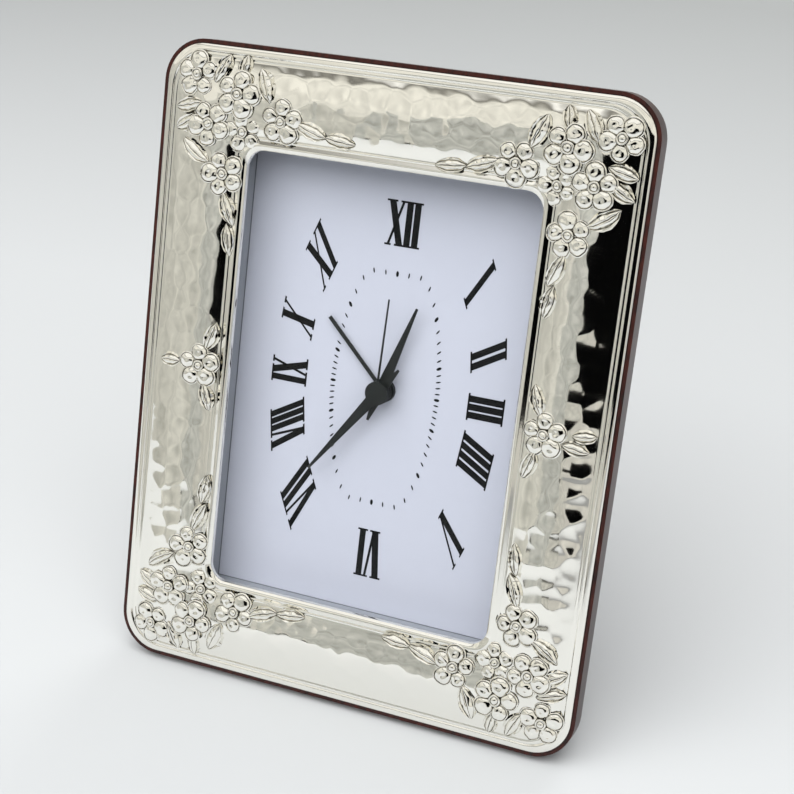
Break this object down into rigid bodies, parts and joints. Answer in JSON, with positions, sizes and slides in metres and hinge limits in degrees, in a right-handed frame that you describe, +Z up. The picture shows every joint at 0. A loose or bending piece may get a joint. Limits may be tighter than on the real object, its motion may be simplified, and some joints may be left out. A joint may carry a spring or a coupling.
{
  "type": "photo frame clock",
  "caption": "Leaning table clock in an embossed silver photo frame with a glazed dial, quartz alarm movement and folding strut.",
  "frame": {"origin": "on the table, under the middle of the standing clock's box, with the strut open", "axes": "+X to the right seen from the front, +Y to the back, +Z up"},
  "size_m": [0.1422, 0.0676, 0.176],
  "materials": {
    "silver": "polished silver plate with planished field",
    "filler": "cast resin",
    "wood": "dark mahogany, gloss lacquer",
    "board": "stained hardboard",
    "glass": "clear float glass",
    "spacer": "matt moulded spacer",
    "dial": "satin printed dial",
    "hands": "black enamel",
    "brass": "lacquered brass",
    "case": "moulded black plastic",
    "wheels": "acetal",
    "steel": "plain",
    "copper": "enamelled winding",
    "circuit": "solder mask",
    "cell": "plain sleeve",
    "pad": "foam tape"
  },
  "bodies": {
    "frame": {"silver_front": "silver", "relief_filler": "filler", "frame_body": "wood", "window_glass": "glass", "spacer_frame": "spacer", "dial_plate": "dial", "back_board": "board", "turn_button_screws": "brass", "adhesive_pad": "pad", "movement_front": "case", "movement_case": "case", "stator": "steel", "coil": "copper", "circuit_board": "circuit", "quartz_crystal": "steel", "alarm_sounder": "brass", "battery": "cell", "contact_minus": "steel", "contact_plus": "steel", "hinge_leaf_fixed": "brass", "hinge_pin": "brass"},
    "minute": {"centre_wheel": "wheels", "minute_tube": "brass", "minute_hand": "hands"},
    "hour": {"hour_wheel": "wheels", "hour_hand": "hands"},
    "second": {"seconds_wheel": "wheels", "second_hand": "hands"},
    "third": {"third_wheel": "wheels"},
    "step": {"step_wheel": "wheels"},
    "rotor": {"rotor": "steel"},
    "minute_work": {"minute_wheel": "wheels"},
    "setting": {"setting_knob": "case"},
    "alarm": {"alarm_wheel": "wheels", "alarm_hand": "hands"},
    "alarm_setting": {"alarm_knob": "case"},
    "switch": {"alarm_switch": "case"},
    "strut": {"strut_leg": "board", "hinge_leaf_strut": "brass"},
    "button_1": {"turn_button_1": "brass"},
    "button_2": {"turn_button_2": "brass"},
    "button_3": {"turn_button_3": "brass"},
    "button_4": {"turn_button_4": "brass"}
  },
  "joints": [
    {"name": "minute_spin", "type": "hinge", "parent": "frame", "child": "minute", "pos_m": [0, 0.01332, 0.08336], "axis": [0, 0.9563, -0.2924], "continuous": true},
    {"name": "hour_spin", "type": "hinge", "parent": "frame", "child": "hour", "pos_m": [0, 0.01332, 0.08336], "axis": [0, 0.9563, -0.2924], "continuous": true},
    {"name": "second_spin", "type": "hinge", "parent": "frame", "child": "second", "pos_m": [0, 0.01332, 0.08336], "axis": [0, 0.9563, -0.2924], "continuous": true},
    {"name": "third_spin", "type": "hinge", "parent": "frame", "child": "third", "pos_m": [0.0115, 0.01454, 0.08736], "axis": [0, 0.9563, -0.2924], "continuous": true},
    {"name": "step_spin", "type": "hinge", "parent": "frame", "child": "step", "pos_m": [-0.00864, 0.01332, 0.08336], "axis": [0, 0.9563, -0.2924], "continuous": true},
    {"name": "rotor_spin", "type": "hinge", "parent": "frame", "child": "rotor", "pos_m": [-0.01284, 0.01544, 0.09032], "axis": [0, 0.9563, -0.2924], "continuous": true},
    {"name": "minute_work_spin", "type": "hinge", "parent": "frame", "child": "minute_work", "pos_m": [0.00579, 0.0113, 0.07677], "axis": [0, 0.9563, -0.2924], "continuous": true},
    {"name": "setting_spin", "type": "hinge", "parent": "frame", "child": "setting", "pos_m": [0.0153, 0.01029, 0.07346], "axis": [0, 0.9563, -0.2924], "continuous": true},
    {"name": "alarm_spin", "type": "hinge", "parent": "frame", "child": "alarm", "pos_m": [0, 0.01332, 0.08336], "axis": [0, 0.9563, -0.2924], "continuous": true},
    {"name": "alarm_setting_spin", "type": "hinge", "parent": "frame", "child": "alarm_setting", "pos_m": [-0.00451, 0.00969, 0.0715], "axis": [0, 0.9563, -0.2924], "continuous": true},
    {"name": "switch_slide", "type": "slide", "parent": "frame", "child": "switch", "axis": [1, 0, 0], "range_m": [0, 0.004]},
    {"name": "strut_fold", "type": "hinge", "parent": "frame", "child": "strut", "pos_m": [0, 0.00262, 0.05317], "axis": [-1, 0, 0], "range_deg": [0, 41]},
    {"name": "button_1_turn", "type": "hinge", "parent": "frame", "child": "button_1", "pos_m": [-0.0554, 0.02156, 0.12058], "axis": [0, -0.9563, 0.2924], "range_deg": [0, 90]},
    {"name": "button_2_turn", "type": "hinge", "parent": "frame", "child": "button_2", "pos_m": [0.0554, 0.02156, 0.12058], "axis": [0, -0.9563, 0.2924], "range_deg": [0, 90]},
    {"name": "button_3_turn", "type": "hinge", "parent": "frame", "child": "button_3", "pos_m": [-0.0554, -0.00066, 0.0479], "axis": [0, -0.9563, 0.2924], "range_deg": [0, 90]},
    {"name": "button_4_turn", "type": "hinge", "parent": "frame", "child": "button_4", "pos_m": [0.0554, -0.00066, 0.0479], "axis": [0, -0.9563, 0.2924], "range_deg": [0, 90]}
  ],
  "couplings": [
    {"joint": "hour_spin", "follows": "minute_spin", "ratio": 0.083333},
    {"joint": "second_spin", "follows": "minute_spin", "ratio": 60},
    {"joint": "third_spin", "follows": "minute_spin", "ratio": -6},
    {"joint": "step_spin", "follows": "minute_spin", "ratio": -300},
    {"joint": "rotor_spin", "follows": "minute_spin", "ratio": 1800},
    {"joint": "minute_work_spin", "follows": "minute_spin", "ratio": -0.33333},
    {"joint": "setting_spin", "follows": "minute_spin", "ratio": 0.66667},
    {"joint": "alarm_setting_spin", "follows": "alarm_spin", "ratio": -1.5}
  ]
}
